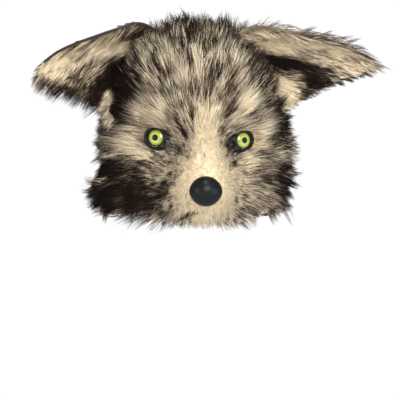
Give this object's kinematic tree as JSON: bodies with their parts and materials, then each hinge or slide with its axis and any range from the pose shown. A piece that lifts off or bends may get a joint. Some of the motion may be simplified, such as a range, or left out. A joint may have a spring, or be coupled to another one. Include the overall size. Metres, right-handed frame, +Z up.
{
  "type": "werewolf mask",
  "caption": "Wolf half mask of long faux fur over a moulded hollow face shell, with folded ears, domed eyes, a ball nose and a head band.",
  "frame": {"origin": "seat on the inside of the crown, where the mask rests on the wearer's head", "axes": "+X to the right of someone facing the mask, the mask looks along -Y, +Z up"},
  "size_m": [0.4023, 0.2898, 0.2502],
  "materials": {
    "shell": "matt black moulded foam",
    "grey_fur": "long grey-brown pile with dark guard hairs",
    "cream_fur": "short cream pile",
    "dark_fur": "long pile with near-black tips",
    "ear_fur": "medium pile, cream inside and grey outside",
    "eye_black": "gloss black",
    "iris_green": "clear-coated yellow-green",
    "pupil_black": "gloss black",
    "sight_mesh": "black perforated mesh",
    "nose_black": "satin black, finely pebbled",
    "elastic": "black woven elastic"
  },
  "bodies": {
    "root": {"face_shell": "shell", "crown_fur": "grey_fur", "muzzle_fur": "cream_fur", "left_cheek_fur": "dark_fur", "right_cheek_fur": "dark_fur", "left_ear": "ear_fur", "right_ear": "ear_fur", "left_eye_rim": "eye_black", "right_eye_rim": "eye_black", "left_iris": "iris_green", "right_iris": "iris_green", "left_pupil": "pupil_black", "right_pupil": "pupil_black", "left_sight_mesh": "sight_mesh", "right_sight_mesh": "sight_mesh", "nose": "nose_black", "head_band": "elastic"}
  },
  "joints": []
}
